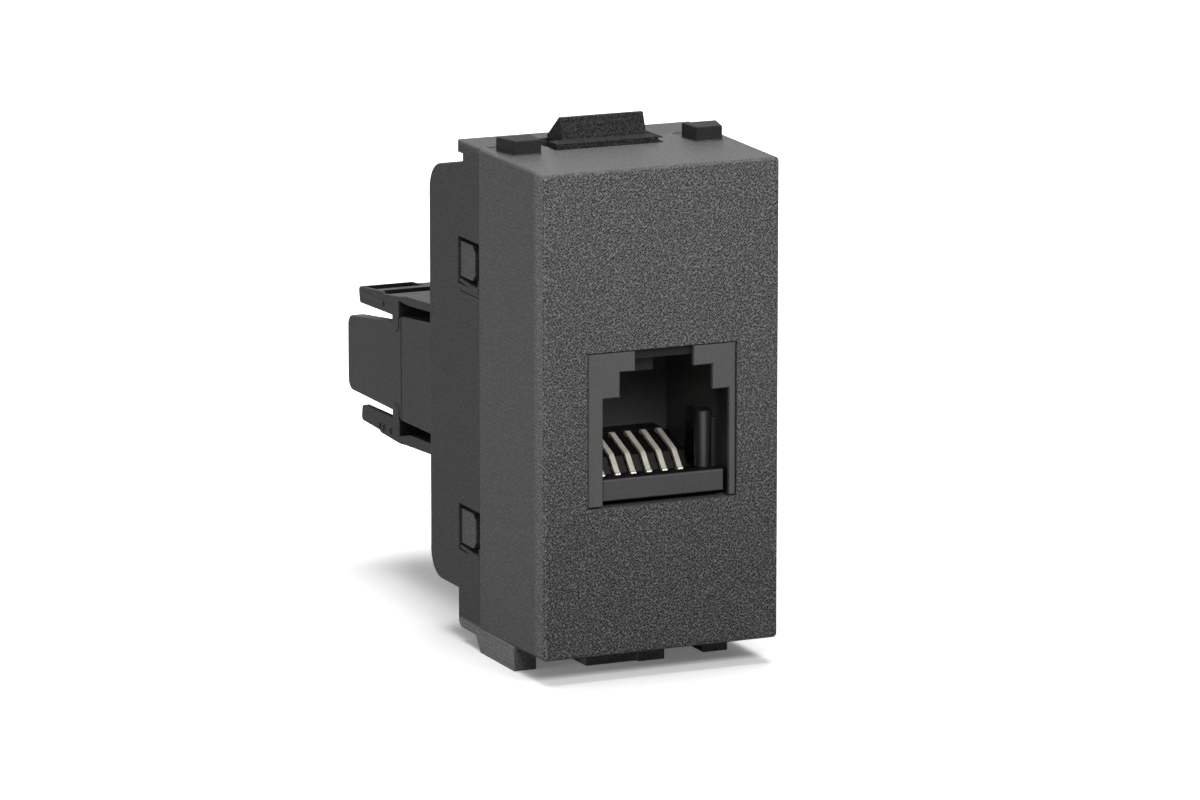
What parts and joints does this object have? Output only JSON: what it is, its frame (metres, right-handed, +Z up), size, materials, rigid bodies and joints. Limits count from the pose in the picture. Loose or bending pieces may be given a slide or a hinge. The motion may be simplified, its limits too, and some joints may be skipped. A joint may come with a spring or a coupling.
{
  "type": "telephone socket module",
  "caption": "Narrow snap-in telephone socket module with a tall grained cover, a stepped socket with sprung contacts and a wiring cap with squeeze levers behind.",
  "frame": {"origin": "centre of the front face outline of the cover", "axes": "-Y out of the front face towards the user, +X to the right seen from the front, +Z up"},
  "size_m": [0.0238, 0.0549, 0.0499],
  "materials": {
    "cover": "fine spark-eroded grain on the front, satin sides",
    "frame": "satin moulded",
    "latch": "lightly grained",
    "jack": "smooth satin-gloss",
    "carrier": "smooth satin-gloss",
    "guide": "smooth glossy",
    "contact_gold": "thin pale gold plating",
    "lead": "bright",
    "board": "laminate",
    "block": "satin moulded",
    "terminal": "tinned",
    "cap": "satin moulded",
    "lever": "satin moulded"
  },
  "bodies": {
    "module": {"circuit_board": "board", "contact_carrier": "carrier", "front_cover": "cover", "idc_terminal_1": "terminal", "idc_terminal_2": "terminal", "idc_terminal_3": "terminal", "idc_terminal_4": "terminal", "idc_terminal_5": "terminal", "idc_terminal_6": "terminal", "jack_housing": "jack", "lead_frame": "lead", "plug_guide_left": "guide", "plug_guide_right": "guide", "rear_frame": "frame", "terminal_block": "block", "wiring_cap": "cap"},
    "latch": {"top_latch": "latch"},
    "upper_left_lever": {"upper_lever_left": "lever"},
    "lower_left_lever": {"lower_lever_left": "lever"},
    "upper_right_lever": {"upper_lever_right": "lever"},
    "lower_right_lever": {"lower_lever_right": "lever"},
    "contact_spring_1": {"contact_1": "contact_gold"},
    "contact_spring_2": {"contact_2": "contact_gold"},
    "contact_spring_3": {"contact_3": "contact_gold"},
    "contact_spring_4": {"contact_4": "contact_gold"},
    "contact_spring_5": {"contact_5": "contact_gold"},
    "contact_spring_6": {"contact_6": "contact_gold"}
  },
  "joints": [
    {"name": "latch_flex", "type": "hinge", "parent": "module", "child": "latch", "pos_m": [0, 0.0043, 0.0205], "axis": [-1, 0, 0], "range_deg": [0, 8], "stiffness_Nm_per_rad": 0.05},
    {"name": "upper_left_squeeze", "type": "hinge", "parent": "module", "child": "upper_left_lever", "pos_m": [-0.00658, 0.0427, 0.0008], "axis": [-1, 0, 0], "range_deg": [0, 5], "stiffness_Nm_per_rad": 0.03},
    {"name": "lower_left_squeeze", "type": "hinge", "parent": "module", "child": "lower_left_lever", "pos_m": [-0.00658, 0.0427, -0.00775], "axis": [1, 0, 0], "range_deg": [0, 5], "stiffness_Nm_per_rad": 0.03},
    {"name": "upper_right_squeeze", "type": "hinge", "parent": "module", "child": "upper_right_lever", "pos_m": [0.00658, 0.0427, 0.0008], "axis": [-1, 0, 0], "range_deg": [0, 5], "stiffness_Nm_per_rad": 0.03},
    {"name": "lower_right_squeeze", "type": "hinge", "parent": "module", "child": "lower_right_lever", "pos_m": [0.00658, 0.0427, -0.00775], "axis": [1, 0, 0], "range_deg": [0, 5], "stiffness_Nm_per_rad": 0.03},
    {"name": "contact_1_flex", "type": "hinge", "parent": "module", "child": "contact_spring_1", "pos_m": [-0.0036, 0.0055, -0.007], "axis": [-1, 0, 0], "range_deg": [0, 4], "stiffness_Nm_per_rad": 0.002},
    {"name": "contact_2_flex", "type": "hinge", "parent": "module", "child": "contact_spring_2", "pos_m": [-0.00202, 0.0055, -0.007], "axis": [-1, 0, 0], "range_deg": [0, 4], "stiffness_Nm_per_rad": 0.002},
    {"name": "contact_3_flex", "type": "hinge", "parent": "module", "child": "contact_spring_3", "pos_m": [-0.00045, 0.0055, -0.007], "axis": [-1, 0, 0], "range_deg": [0, 4], "stiffness_Nm_per_rad": 0.002},
    {"name": "contact_4_flex", "type": "hinge", "parent": "module", "child": "contact_spring_4", "pos_m": [0.00113, 0.0055, -0.007], "axis": [-1, 0, 0], "range_deg": [0, 4], "stiffness_Nm_per_rad": 0.002},
    {"name": "contact_5_flex", "type": "hinge", "parent": "module", "child": "contact_spring_5", "pos_m": [0.0027, 0.0055, -0.007], "axis": [-1, 0, 0], "range_deg": [0, 4], "stiffness_Nm_per_rad": 0.002},
    {"name": "contact_6_flex", "type": "hinge", "parent": "module", "child": "contact_spring_6", "pos_m": [0.00428, 0.0055, -0.007], "axis": [-1, 0, 0], "range_deg": [0, 4], "stiffness_Nm_per_rad": 0.002}
  ]
}
